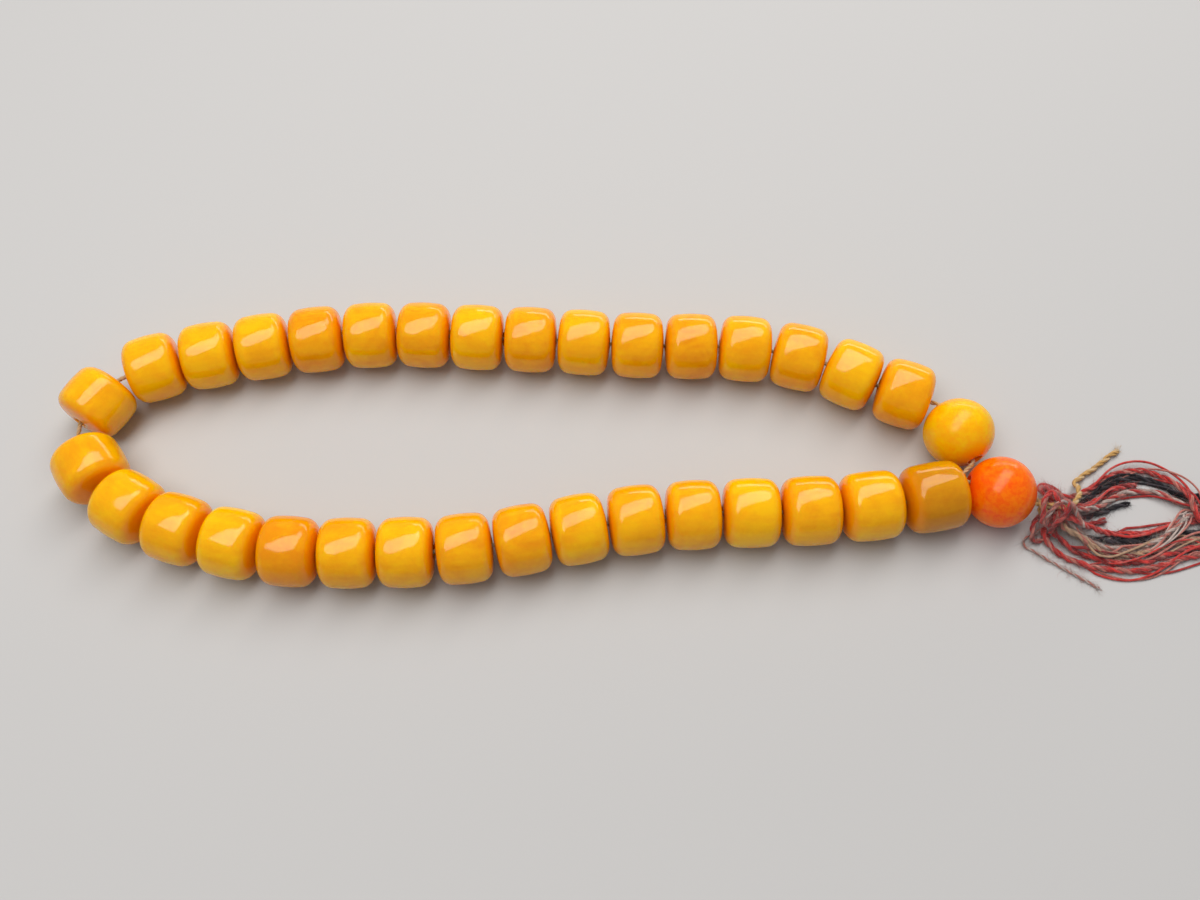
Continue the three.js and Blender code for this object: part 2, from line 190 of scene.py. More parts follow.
class Shape:
    """Vertices and faces being gathered, with two attributes at each vertex: its shade, and a place.

    On a tube the place is the share of the way round and the millimetres along. On a bead it is how far the
    bead's pattern is shifted, so that no two beads are alike.
    """

    def __init__(self):
        self.vertices = []
        self.faces = []
        self.shades = []
        self.places = []

    def add_tube(self, line, radii, sides, colour):
        """A tube round the line, closed at both ends."""
        frames = frames_along(line)
        first = len(self.vertices)
        gone = 0.0
        for index, point in enumerate(line):
            if index:
                gone += (point - line[index - 1]).length
            side, up = frames[index]
            radius = radii[index]
            for corner in range(sides):
                angle = 2 * math.pi * corner / sides
                self.vertices.append(point + side * math.cos(angle) * radius + up * math.sin(angle) * radius)
                self.shades.append(colour)
                self.places.append((corner / sides, gone / MM))
        last = first + (len(line) - 1) * sides
        for ring in range(first, last, sides):
            for corner in range(sides):
                beside = (corner + 1) % sides
                self.faces.append((ring + corner, ring + beside,
                                   ring + sides + beside, ring + sides + corner))
        self.faces.append(tuple(first + corner for corner in reversed(range(sides))))
        self.faces.append(tuple(last + corner for corner in range(sides)))

    def build(self, name, material):
        mesh = bpy.data.meshes.new(name)
        mesh.from_pydata(self.vertices, [], self.faces)
        mesh.validate()
        shade = mesh.attributes.new("shade", "FLOAT_COLOR", "POINT")
        shade.data.foreach_set("color", [value for row in self.shades for value in (*row, 1.0)])
        place = mesh.attributes.new("place", "FLOAT_VECTOR", "POINT")
        place.data.foreach_set("vector", [value for row in self.places for value in (*row, 0.0)])
        mesh.polygons.foreach_set("use_smooth", [True] * len(mesh.polygons))
        mesh.materials.append(material)
        mesh.update()
        piece = bpy.data.objects.new(name, mesh)
        scene.collection.objects.link(piece)
        return piece


# ---------------------------------------------------------------- materials

def new_material(name):
    material = bpy.data.materials.new(name)
    material.use_nodes = True
    tree = material.node_tree
    tree.nodes.clear()
    output = tree.nodes.new("ShaderNodeOutputMaterial")
    shader = tree.nodes.new("ShaderNodeBsdfPrincipled")
    tree.links.new(shader.outputs["BSDF"], output.inputs["Surface"])
    return material, tree, shader


def feed(tree, socket, value):
    """Links a socket, or sets a plain value."""
    if isinstance(value, bpy.types.NodeSocket):
        tree.links.new(value, socket)
    else:
        socket.default_value = value


def add_noise(tree, vector, scale, detail=3.0, roughness=0.5, distortion=0.0):
    node = tree.nodes.new("ShaderNodeTexNoise")
    feed(tree, node.inputs["Vector"], vector)
    node.inputs["Scale"].default_value = scale
    node.inputs["Detail"].default_value = detail
    node.inputs["Roughness"].default_value = roughness
    node.inputs["Distortion"].default_value = distortion
    return node.outputs["Fac"]


def remap(tree, value, low, high, to_low=0.0, to_high=1.0, smooth=True):
    node = tree.nodes.new("ShaderNodeMapRange")
    node.interpolation_type = "SMOOTHSTEP" if smooth else "LINEAR"
    feed(tree, node.inputs["Value"], value)
    node.inputs["From Min"].default_value = low
    node.inputs["From Max"].default_value = high
    node.inputs["To Min"].default_value = to_low
    node.inputs["To Max"].default_value = to_high
    return node.outputs["Result"]


def maths(tree, operation, a, b=0.0):
    node = tree.nodes.new("ShaderNodeMath")
    node.operation = operation
    feed(tree, node.inputs[0], a)
    feed(tree, node.inputs[1], b)
    return node.outputs[0]


def mix_colours(tree, share, a, b, blend="MIX"):
    """Mixes two colours. Inputs 6 and 7 and output 2 are the Mix node's colour sockets."""
    node = tree.nodes.new("ShaderNodeMix")
    node.data_type = "RGBA"
    node.blend_type = blend
    feed(tree, node.inputs[0], share)
    feed(tree, node.inputs[6], a)
    feed(tree, node.inputs[7], b)
    return node.outputs[2]


def mapped(tree, vector, scale, turn=0.0):
    node = tree.nodes.new("ShaderNodeMapping")
    feed(tree, node.inputs["Vector"], vector)
    node.inputs["Rotation"].default_value = (0, 0, turn)
    node.inputs["Scale"].default_value = scale
    return node.outputs["Vector"]


def attribute(tree, name, output):
    node = tree.nodes.new("ShaderNodeAttribute")
    node.attribute_name = name
    return node.outputs[output]


def add_bump(tree, shader, height, depth, strength):
    node = tree.nodes.new("ShaderNodeBump")
    node.inputs["Distance"].default_value = depth
    node.inputs["Strength"].default_value = strength
    feed(tree, node.inputs["Height"], height)
    tree.links.new(node.outputs["Normal"], shader.inputs["Normal"])


def resin_material(name, light, deep, painted_end_glow, half_length, gloss, mottle, glow, streak=0.22,
                   speckle=0.05, index=1.38):
    """Cast resin: cloudy inside, drawn into streaks along the bore, worn smooth, with a painted glow that
    deepens the colour at the ends, where the beads meet.

    The vertex shade says how deep a bead's colour is, and clouds, streaks and specks are added to it.
    """
    material, tree, shader = new_material(name)
    coordinates = tree.nodes.new("ShaderNodeTexCoord").outputs["Object"]
    shifted = tree.nodes.new("ShaderNodeVectorMath")
    shifted.operation = "ADD"
    feed(tree, shifted.inputs[0], coordinates)
    feed(tree, shifted.inputs[1], attribute(tree, "place", "Vector"))
    place = shifted.outputs[0]

    clouds = add_noise(tree, place, mottle, detail=4.0, roughness=0.55, distortion=0.6)
    streaks = add_noise(tree, mapped(tree, place, (60, 620, 620)), 1.0, detail=4.0, roughness=0.55)
    grain = add_noise(tree, place, 1500, roughness=0.6)
    depth = maths(tree, "ADD", remap(tree, clouds, 0.32, 0.68, -0.20, 0.20),
                  remap(tree, streaks, 0.35, 0.68, -streak / 2, streak / 2))
    depth = maths(tree, "ADD", depth, remap(tree, grain, 0.35, 0.65, -speckle, speckle))
    depth = maths(tree, "ADD", depth, attribute(tree, "shade", "Fac"))
    depth = remap(tree, depth, 0.0, 1.0, smooth=False)
    body = mix_colours(tree, depth, (*light, 1.0), (*deep, 1.0))

    # Painted glow: the colour deepens towards each end, standing in for light through the resin where the
    # beads meet.
    split = tree.nodes.new("ShaderNodeSeparateXYZ")
    feed(tree, split.inputs[0], coordinates)
    along = maths(tree, "ABSOLUTE", split.outputs[0])
    painted_end_glow_share = remap(tree, along, half_length * 0.66, half_length * 0.98, 0.0, 0.8)
    feed(tree, shader.inputs["Base Color"], mix_colours(tree, painted_end_glow_share, body, (*painted_end_glow, 1.0)))

    smears = add_noise(tree, mapped(tree, place, (260, 520, 520)), 1.0, detail=4.0, roughness=0.7)
    scuffs = add_noise(tree, mapped(tree, place, (1800, 5200, 5200)), 1.0, detail=2.0)
    rough = maths(tree, "ADD", remap(tree, smears, 0.35, 0.75, gloss, gloss + 0.09),
                  remap(tree, scuffs, 0.60, 0.78, 0.0, 0.10))
    feed(tree, shader.inputs["Roughness"], rough)
    dents = add_noise(tree, place, 420, detail=2.0)
    height = maths(tree, "ADD", dents, maths(tree, "MULTIPLY", scuffs, 0.05))
    add_bump(tree, shader, height, 0.10 * MM, 0.4)

    shader.inputs["IOR"].default_value = index
    shader.inputs["Subsurface Weight"].default_value = glow
    shader.inputs["Subsurface Radius"].default_value = (1.0, 0.42, 0.06)
    shader.inputs["Subsurface Scale"].default_value = 2.6 * MM
    shader.inputs["Coat Weight"].default_value = 0.06
    shader.inputs["Coat Roughness"].default_value = 0.06
    return material


def yarn_material(name, roughness, sheen, fibre_count, fibre_shade_depth, dust=0.3):
    """Twisted fibre: each ply keeps its own colour, with fine fibres that lie slantwise along it and painted
    shade in the lines between them.
    """
    material, tree, shader = new_material(name)
    slant = mapped(tree, attribute(tree, "place", "Vector"), (fibre_count, 1.1, 1.0), turn=0.35)
    fibres = add_noise(tree, slant, 1.0, detail=4.0, roughness=0.65)
    coordinates = tree.nodes.new("ShaderNodeTexCoord").outputs["Object"]
    patches = add_noise(tree, coordinates, 620, detail=4.0, roughness=0.6)
    own = attribute(tree, "shade", "Color")
    # Painted shade: between the fibre lines the ply's own colour is darkened, and the lit lines keep it.
    dark = 1 - fibre_shade_depth
    painted_fibre_shade = mix_colours(tree, 1.0, own, (dark, dark, dark, 1.0), "MULTIPLY")
    lit = mix_colours(tree, remap(tree, fibres, 0.36, 0.62), painted_fibre_shade, own)
    dusty = mix_colours(tree, remap(tree, patches, 0.45, 0.85, 0.0, dust), lit, (0.55, 0.42, 0.36, 1.0))
    feed(tree, shader.inputs["Base Color"], dusty)
    feed(tree, shader.inputs["Roughness"], remap(tree, fibres, 0.3, 0.7, roughness - 0.12, roughness + 0.04))
    add_bump(tree, shader, fibres, 0.12 * MM, 0.9)
    shader.inputs["Sheen Weight"].default_value = sheen
    shader.inputs["Sheen Roughness"].default_value = 0.5
    shader.inputs["Specular IOR Level"].default_value = 0.25
    return material


RED = (0.50, 0.022, 0.020)
DEEP_RED = (0.27, 0.012, 0.014)
BRIGHT_RED = (0.68, 0.040, 0.032)
PINK = (0.58, 0.19, 0.15)
BLACK = (0.016, 0.014, 0.019)
GREY = (0.060, 0.052, 0.062)
WHITE = (0.58, 0.47, 0.42)
BEIGE = (0.50, 0.31, 0.19)
CORD = (0.62, 0.36, 0.11)
PALE_CORD = (0.70, 0.50, 0.26)
ORANGE_CORD = (0.60, 0.20, 0.06)

# The fifth argument is how deep the painted shade between the fibres is.
YARN = {
    "red": yarn_material("red_yarn", 0.86, 0.35, 9.0, 0.55),
    "black": yarn_material("black_yarn", 0.84, 0.08, 9.0, 0.45, dust=0.08),
    "white": yarn_material("white_yarn", 0.90, 0.30, 8.0, 0.35),
    "beige": yarn_material("beige_yarn", 0.90, 0.30, 8.0, 0.40),
}
CORD_MATERIAL = yarn_material("waxed_cord", 0.62, 0.10, 7.0, 0.35)


# ---------------------------------------------------------------- strands of the tassel

knot_low, knot_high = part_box("string_knot")
knot_centre = (knot_low + knot_high) / 2
tassel_origin = knot_centre - KNOT_PLACE

# Name, diameter in millimetres, finish, the colours of its plies, how much it frays, and its route in
# millimetres from the terminal bead's outer mouth, on the floor.
STRANDS = [
    ("yarn_red_arc", 1.1, "red", (RED, BRIGHT_RED, PINK), 0.5, [
        (3.5, 1.3, 4.3), (2.6, 2.6, 3.6), (2.9, 4.0, 2.6), (4.4, 4.5, 1.8), (6.0, 3.7, 1.4), (7.6, 2.8, 1.0),
        (9.5, 2.9, 0.6), (11.6, 4.0, 0.6), (14.2, 5.5, 0.6), (17.0, 7.1, 0.6), (20.0, 7.9, 0.6),
        (23.2, 7.8, 0.6), (26.2, 6.5, 0.7), (28.3, 4.5, 1.3), (29.3, 2.2, 2.0), (29.5, 0.2, 2.1),
        (30.3, -1.7, 2.1), (32.0, -2.8, 2.0), (35.0, -2.6, 1.3), (38.0, -2.4, 0.7), (41.0, -2.4, 0.6),
        (44.0, -2.6, 0.6), (46.5, -2.9, 0.6)]),
    ("yarn_black_arc", 0.9, "black", (BLACK, GREY, BLACK), 0.4, [
        (5.9, -0.1, 2.2), (7.1, 0.3, 1.0), (8.5, 0.9, 0.5), (11.0, 2.1, 0.5), (14.0, 4.0, 0.5),
        (17.0, 5.7, 0.5), (20.0, 6.5, 0.5), (23.0, 6.3, 0.5), (26.0, 5.0, 0.5), (27.5, 3.9, 0.5),
        (29.0, 3.0, 0.5), (30.5, 2.7, 0.5), (32.0, 2.8, 0.5), (35.0, 3.2, 0.5), (38.0, 3.8, 0.5),
        (41.0, 4.2, 0.5)]),
    ("yarn_red_upper", 1.1, "red", (RED, DEEP_RED, BRIGHT_RED), 0.4, [
        (5.9, -0.1, 3.5), (7.2, 0.1, 3.0), (8.5, 0.4, 2.4), (9.8, 0.6, 1.8), (11.0, 0.9, 1.3),
        (12.5, 1.7, 0.8), (14.0, 2.6, 0.6), (17.0, 4.4, 0.6), (19.0, 5.0, 0.6), (20.8, 5.1, 0.6)]),
    ("yarn_red_inner", 1.1, "red", (PINK, RED, WHITE), 0.6, [
        (5.9, -1.4, 4.8), (8.5, -0.8, 3.8), (11.0, -0.1, 2.5), (12.5, 0.4, 1.6), (14.0, 1.2, 0.9),
        (17.0, 3.0, 0.6), (20.0, 3.8, 0.6), (23.0, 3.9, 0.6), (26.0, 2.9, 0.6), (29.0, 1.3, 0.6),
        (32.0, 1.0, 0.6), (35.0, 1.4, 0.6), (38.0, 1.9, 0.6), (41.0, 2.3, 0.6), (44.0, 2.6, 0.6)]),
    ("yarn_black_short", 0.9, "black", (BLACK, BLACK, GREY), 0.4, [
        (5.9, -1.4, 2.2), (7.2, -1.4, 1.2), (8.5, -1.3, 0.6), (11.0, -0.9, 0.5), (14.0, 0.0, 0.5),
        (17.0, 1.2, 0.5), (19.0, 1.6, 0.5)]),
    ("yarn_red_stub", 1.1, "red", (DEEP_RED, RED, RED), 0.4, [
        (6.0, -1.4, 3.5), (7.2, -1.8, 2.9), (8.5, -2.3, 2.2), (10.5, -2.6, 1.2), (12.5, -2.2, 0.7),
        (14.1, -1.5, 0.6)]),
    ("yarn_red_top", 1.1, "red", (BRIGHT_RED, RED, BRIGHT_RED), 0.5, [
        (5.9, -2.7, 4.8), (8.5, -3.4, 3.8), (11.0, -3.8, 2.4), (12.5, -4.0, 1.5), (14.0, -4.1, 0.9),
        (17.0, -4.2, 0.6), (20.0, -4.1, 0.6), (23.0, -3.5, 0.6), (26.0, -2.7, 0.6), (29.0, -2.0, 0.6),
        (32.0, -1.4, 0.6), (35.0, -1.0, 0.6), (38.0, -0.8, 0.6), (41.0, -0.6, 0.6), (44.0, -0.4, 0.6),
        (46.0, -0.4, 0.6)]),
    ("yarn_black_low", 0.9, "black", (BLACK, GREY, GREY), 0.4, [
        (5.9, -2.7, 2.2), (7.1, -3.2, 1.2), (8.5, -3.9, 0.6), (11.0, -4.9, 0.5), (14.0, -5.5, 0.5),
        (17.0, -5.6, 0.5), (20.0, -5.4, 0.5), (23.0, -4.9, 0.5), (26.0, -4.3, 0.5), (29.0, -3.8, 0.5),
        (32.0, -3.8, 0.5), (35.0, -4.0, 0.5), (38.0, -4.1, 0.5), (41.0, -4.2, 0.5), (44.0, -4.3, 0.5)]),
    ("yarn_white_low", 0.8, "white", (WHITE, PINK, WHITE), 0.7, [
        (5.9, -2.7, 3.5), (7.2, -3.5, 2.9), (8.5, -4.4, 2.1), (11.0, -5.9, 1.0), (14.0, -6.7, 0.5),
        (17.0, -6.7, 0.5), (20.0, -6.4, 0.7), (21.5, -6.0, 1.2), (23.0, -5.2, 1.7), (24.5, -4.2, 1.8),
        (26.0, -3.1, 1.9), (27.5, -1.9, 1.7), (29.0, -0.7, 0.9), (32.0, -0.2, 0.5), (35.0, 0.1, 0.5),
        (38.0, 0.4, 0.5), (41.0, 0.7, 0.5)]),
    ("yarn_beige", 1.1, "beige", (BEIGE, PINK, BEIGE), 0.9, [
        (5.5, -4.0, 3.4), (7.0, -4.8, 3.0), (8.5, -5.6, 2.6), (11.0, -7.1, 1.6), (12.5, -7.7, 1.0),
        (14.0, -8.0, 0.6), (17.0, -8.0, 0.6), (20.0, -7.7, 0.6), (23.0, -6.8, 0.6), (26.0, -5.8, 0.6),
        (29.0, -5.2, 0.6), (32.0, -5.2, 0.6), (35.0, -5.4, 0.6), (38.0, -5.5, 0.6), (41.0, -5.6, 0.6)]),
    ("yarn_red_low", 1.1, "red", (RED, BRIGHT_RED, DEEP_RED), 0.5, [
        (4.1, -4.4, 2.2), (5.4, -5.7, 1.5), (7.0, -6.9, 0.9), (9.0, -8.0, 0.6), (11.0, -8.7, 0.6),
        (14.0, -9.4, 0.6), (17.0, -9.5, 0.6), (20.0, -9.2, 0.6), (23.0, -8.3, 0.6), (26.0, -7.3, 0.6),
        (29.0, -6.7, 0.6), (32.0, -6.7, 0.6), (35.0, -6.9, 0.6), (38.0, -7.1, 0.6), (41.0, -7.2, 0.6),
        (43.0, -7.3, 0.6)]),
    ("yarn_red_outer", 1.1, "red", (RED, PINK, BRIGHT_RED), 0.6, [
        (2.6, -4.0, 1.6), (3.0, -5.6, 1.0), (4.4, -7.3, 0.7), (6.2, -8.7, 0.6), (8.5, -9.7, 0.6),
        (11.0, -10.4, 0.6), (14.0, -10.9, 0.6), (17.0, -11.0, 0.6), (20.0, -10.6, 0.6),
        (23.0, -9.8, 0.6), (26.0, -8.8, 0.6), (29.0, -8.2, 0.6), (32.0, -8.2, 0.6), (35.0, -8.5, 0.6),
        (38.0, -8.8, 0.6), (41.0, -9.0, 0.6)]),
    ("yarn_white_thread", 0.5, "white", (PINK, WHITE), 0.4, [
        (1.3, -4.2, 0.9), (0.2, -4.6, 0.5), (-0.8, -5.4, 0.3), (-0.6, -6.4, 0.3), (0.8, -7.3, 0.3),
        (2.6, -8.6, 0.3), (4.6, -10.0, 0.3), (6.8, -11.4, 0.3), (9.0, -12.8, 0.3), (10.9, -14.1, 0.3)]),
    ("string_tail", 1.0, "cord", (CORD, PALE_CORD, CORD), 0.6, [
        (3.3, -1.2, 6.5), (4.6, -1.5, 6.5), (6.0, -1.3, 6.3), (7.6, 0.2, 5.6), (8.8, 1.9, 4.4),
        (9.3, 3.6, 3.1), (9.5, 5.0, 1.9), (10.9, 6.4, 1.0), (12.9, 7.7, 0.7), (15.0, 9.2, 0.6),
        (17.0, 10.7, 0.6), (18.9, 12.0, 0.6)]),
]


def any_direction(draw, along=1):
    """A direction drawn at random, with its share along X."""
    return Vector((draw.gauss(0, along), draw.gauss(0, 1), draw.gauss(0, 1))).normalized()


def add_fibre(shape, start, heading, length, radius, colour, draw):
    """One loose fibre: a thin tapering curl, kept above the floor."""
    points = [start.copy()]
    heading = heading.normalized()
    bend = Vector((draw.gauss(0, 1), draw.gauss(0, 1), draw.gauss(0, 0.5))) * 0.35
    for _ in range(FIBRE_PARTS):
        stir = Vector((draw.gauss(0, 0.12), draw.gauss(0, 0.12), -0.06))
        heading = (heading + bend * 0.5 + stir).normalized()
        point = points[-1] + heading * length / FIBRE_PARTS
        point.z = max(point.z, FIBRE_LIFT)
        points.append(point)
    radii = [radius * (1.0 - 0.14 * index) for index in range(FIBRE_PARTS + 1)]
    shape.add_tube(points, radii, FIBRE_SIDES, colour)


def add_hairs(shape, line, frames, diameter, colour, count, draw):
    """Fine fibres that stand off the line, a little paler than their ply."""
    for _ in range(count):
        index = draw.randrange(1, len(line) - 1)
        tangent = (line[index + 1] - line[index - 1]).normalized()
        side, up = frames[index]
        angle = draw.uniform(0, 2 * math.pi)
        outward = side * math.cos(angle) + up * math.sin(angle)
        start = line[index] + outward * diameter * 0.42
        heading = tangent * draw.choice((-1, 1)) + outward * draw.uniform(0.15, 0.7)
        length = draw.uniform(0.7, 2.2) * MM
        paler = tuple(value * 0.85 + 0.15 * draw.uniform(0.2, 0.7) for value in colour)
        if max(colour) < 0.1:
            paler = tuple(value * 1.5 + 0.01 for value in colour)
        add_fibre(shape, start, heading, length, HAIR_RADIUS, paler, draw)


def add_stray(shape, line, frames, diameter, colour, draw):
    """A thin ply that has come loose and wanders beside the line for a part of its length."""
    step = (line[1] - line[0]).length
    phase = draw.uniform(0, 6)
    wave = diameter * draw.uniform(5.0, 9.0)
    first = draw.randrange(len(line) // 8, len(line) // 3)
    last = draw.randrange(2 * len(line) // 3, len(line))
    stray = []
    for index in range(first, last):
        side, up = frames[index]
        fade = min(1.0, (index - first) / 12, (last - index) / 12)
        gone = index * step
        offset = (side * math.sin(gone / wave + phase) + up * math.cos(gone / wave * 1.3 + phase)) * fade
        point = line[index] + offset * diameter * 1.15
        point.z = max(point.z, STRAY_LIFT)
        stray.append(point)
    shape.add_tube(stray, [draw.uniform(0.15, 0.24) * MM] * len(stray), STRAY_SIDES, colour)


def add_frayed_end(shape, line, diameter, colours, fray, draw):
    """The fibres that open out round the line's last point."""
    end, tangent = line[-1], (line[-1] - line[-3]).normalized()
    for _ in range(int(26 * fray + 8)):
        around = any_direction(draw) * diameter * 0.3
        start = end - tangent * draw.uniform(0.2, 1.4) * MM + around
        heading = tangent + around.normalized() * draw.uniform(0.1, 0.6) * (0.4 + fray)
        colour = draw.choice(colours)
        length = draw.uniform(0.8, 2.0) * MM * (0.5 + fray)
        add_fibre(shape, start, heading, length, END_FIBRE_RADIUS, colour, draw)


def add_plies(shape, line, diameter, colours, draw, twist=4.2, hair=9.0, fray=0.5, loosen=0.0, strays=0):
    """Twists the plies round the line and lets fine fibres stand off them.

    twist is the length of a turn in diameters, hair the number of fibres to a millimetre, fray how much the
    far end opens, loosen how unevenly the plies lie, and strays the number of plies that have come loose.
    """
    count = len(colours)
    frames = frames_along(line)
    step = (line[1] - line[0]).length
    pitch = diameter * twist
    ply = diameter * 0.27
    total = step * (len(line) - 1)
    for number, colour in enumerate(colours):
        phase = draw.uniform(0, 0.3) + number / count
        wander = diameter * 2.3 * draw.uniform(0.9, 1.1)
        centre_line = []
        radii = []
        for index, point in enumerate(line):
            gone = index * step
            left = total - gone
            open_share = max(0.0, 1 - left / FRAY_LENGTH) * fray
            angle = 2 * math.pi * (gone / pitch + phase) + 0.35 * math.sin(gone / wander + number)
            spread = diameter * 0.235 * (1 + loosen * math.sin(gone / (diameter * 3.1) + number * 2.0))
            spread *= 1 + 0.9 * open_share
            side, up = frames[index]
            centre = point + side * math.cos(angle) * spread + up * math.sin(angle) * spread
            centre.z = max(centre.z, ply * 0.9)
            centre_line.append(centre)
            swell = 1 + 0.10 * math.sin(gone / (diameter * 1.7) + number * 1.3 + phase * 5)
            radii.append(ply * swell * (1 - 0.55 * open_share))
        shape.add_tube(centre_line, radii, PLY_SIDES, colour)
        add_hairs(shape, line, frames, diameter, colour, int(total / MM * hair / count), draw)
    for number in range(strays):
        add_stray(shape, line, frames, diameter, colours[number % count], draw)
    add_frayed_end(shape, line, diameter, colours, fray, draw)


strand_lines = {}
for number, (name, size, finish, colours, fray, route) in enumerate(STRANDS):
    draw = random.Random(100 + number)
    points = [tassel_origin + Vector(point) * MM for point in route]
    source = KNOT_PLACE if name == "string_tail" else HITCH_PLACE
    points.insert(0, points[0].lerp(tassel_origin + source, 0.7))
    line = smooth_line(points, STRAND_STEP)
    waxed = finish == "cord"
    fluffy = fray > 0.6
    plain = waxed or size < 0.6 or len(route) < 9
    shape = Shape()
    add_plies(shape, line, size * MM, colours, draw,
              twist=3.2 if waxed else 4.2,
              hair=2.5 if waxed else 26.0 if fluffy else 12.0,
              fray=fray,
              loosen=0.1 if waxed else 0.25,
              strays=0 if plain else 5 if fluffy else 3)
    piece = shape.build(name + "_twisted", CORD_MATERIAL if waxed else YARN[finish])
    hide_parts(name)
    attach(piece, "tassel")
    strand_lines[name] = (line, size * MM)

# Strands too short to be cords of their own. The loop below skips them and does nothing more.
SHORT_STRANDS = ["yarn_red_upper", "yarn_black_short", "yarn_red_stub", "yarn_white_thread", "string_tail"]
for name, (line, diameter) in strand_lines.items():
    if name in SHORT_STRANDS:
        continue


# ---------------------------------------------------------------- knots

def ring_knot(centre, axis, major, minor, turns, laps, steps):
    """A closed line that winds round a ring, as the yarn does in a tied knot."""
    turn = axis.to_track_quat("Z", "Y").to_matrix()
    points = []
    for index in range(steps):
        angle = 2 * math.pi * laps * index / steps
        wind = 2 * math.pi * turns * index / steps
        radius = major + minor * math.cos(wind)
        local = Vector((radius * math.cos(angle), radius * math.sin(angle), minor * math.sin(wind)))
        points.append(centre + turn @ local)
    return points


def add_closed_plies(shape, line, diameter, colours, pitch):
    """Plies twisted round a closed line."""
    total = line_length([*line, line[0]])
    turns = max(1, round(total / pitch))
    frames = frames_along(line)
    for number, colour in enumerate(colours):
        ply = []
        for index, point in enumerate(line):
            angle = 2 * math.pi * (turns * index / len(line) + number / len(colours))
            side, up = frames[index]
            ply.append(point + (side * math.cos(angle) + up * math.sin(angle)) * diameter * 0.23)
        shape.add_tube([*ply, ply[0]], [diameter * 0.27] * (len(ply) + 1), PLY_SIDES, colour)


def make_string_knot():
    """An overhand knot in the waxed cord."""
    shape = Shape()
    axis = Vector((0.9, -0.2, 0.45)).normalized()
    line = ring_knot(knot_centre, axis, KNOT_DIAMETER * 0.27, KNOT_DIAMETER * 0.15, 3, 2, 120)
    add_closed_plies(shape, line, 0.85 * MM, (CORD, ORANGE_CORD, CORD), 2.6 * MM)
    draw = random.Random(7)
    for _ in range(14):
        start = knot_centre + any_direction(draw) * 1.3 * MM
        length = draw.uniform(0.5, 1.2) * MM
        add_fibre(shape, start, start - knot_centre, length, KNOT_FIBRE_RADIUS, PALE_CORD, draw)
    return shape.build("string_knot_tied", CORD_MATERIAL)


# Slack turns of yarn that lie over the string's knot: diameter, ply colours and route, as for the strands.
HITCH_LOOPS = [
    (0.95, (RED, PINK, BRIGHT_RED), [
        (5.2, 0.4, 5.0), (3.9, 1.2, 6.3), (2.5, 0.8, 6.9), (1.4, -0.5, 6.8), (1.4, -2.1, 5.8),
        (1.6, -3.4, 4.2), (3.0, -3.6, 3.0)]),
    (0.9, (BRIGHT_RED, RED, RED), [
        (5.6, -2.8, 5.0), (4.5, -1.7, 6.7), (3.6, -0.2, 7.3), (3.1, 1.5, 6.5), (3.0, 2.6, 5.2),
        (3.4, 3.3, 3.8), (4.4, 2.4, 3.0)]),
    (0.8, (PINK, WHITE, PINK), [
        (3.0, -3.9, 2.6), (2.2, -3.0, 4.6), (2.9, -1.8, 6.7), (4.5, -0.7, 7.3), (6.3, -1.4, 6.8),
        (7.6, -2.7, 4.8), (9.0, -3.9, 3.6)]),
    (0.9, (RED, DEEP_RED, PINK), [
        (1.6, -1.8, 3.4), (0.6, -2.9, 3.2), (0.3, -4.3, 2.3), (0.6, -5.4, 1.0), (2.0, -5.5, 0.7),
        (3.6, -4.7, 1.2)]),
    (0.9, (BRIGHT_RED, RED, DEEP_RED), [
        (4.4, 0.9, 4.4), (5.4, 0.0, 6.0), (5.6, -1.4, 7.2), (4.8, -2.9, 6.4), (3.6, -3.9, 4.6),
        (3.2, -4.6, 2.4)]),
]


# Tight turns of the hitch: axis, ring radius, winding radius, windings, laps, ply colours, diameter, and
# shift from the hitch's middle, in millimetres.
HITCH_RINGS = [
    ((0.95, -0.15, 0.25), 1.45, 0.55, 4, 3, (RED, PINK, BRIGHT_RED), 0.95, (0.0, 0.0, 0.0)),
    ((0.8, 0.5, 0.35), 1.35, 0.28, 2, 1, (BRIGHT_RED, WHITE, RED), 0.8, (-0.5, 0.4, 0.4)),
    ((0.7, -0.6, 0.45), 1.25, 0.28, 3, 1, (PINK, RED, PINK), 0.8, (0.3, -0.5, 0.5)),
]


def make_yarn_hitch():
    """The yarn's middle, looped over the string and drawn tight: several turns that lie over each other."""
    low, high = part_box("yarn_hitch")
    centre = (low + high) / 2
    shape = Shape()
    draw = random.Random(11)
    for axis, major, minor, turns, laps, colours, size, shift in HITCH_RINGS:
        line = ring_knot(centre + Vector(shift) * MM, Vector(axis).normalized(), major * MM, minor * MM,
                         turns, laps, 150)
        line = [Vector((point.x, point.y, max(point.z, 0.5 * MM))) for point in line]
        add_closed_plies(shape, line, size * MM, colours, 3.2 * MM)
    for size, colours, route in HITCH_LOOPS:
        line = smooth_line([tassel_origin + Vector(point) * MM for point in route], 0.15 * MM)
        add_plies(shape, line, size * MM, colours, draw, hair=14.0, fray=0.2, loosen=0.2)
    for _ in range(90):
        start = centre + any_direction(draw, along=0.5) * 1.9 * MM
        colour = draw.choice((RED, PINK, BRIGHT_RED, WHITE))
        heading = start - centre + Vector((0.5 * MM, 0, 0))
        add_fibre(shape, start, heading, draw.uniform(0.7, 1.8) * MM, KNOT_FIBRE_RADIUS, colour, draw)
    return shape.build("yarn_hitch_tied", YARN["red"])


string_knot = make_string_knot()
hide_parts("string_knot")
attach(string_knot, "tassel")
yarn_hitch = make_yarn_hitch()
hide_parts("yarn_hitch")
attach(yarn_hitch, "tassel")


# ---------------------------------------------------------------- beads

BEAD_NAMES = ["bead_01_round"] + ["bead_" + str(number).zfill(2) for number in range(2, 34)]

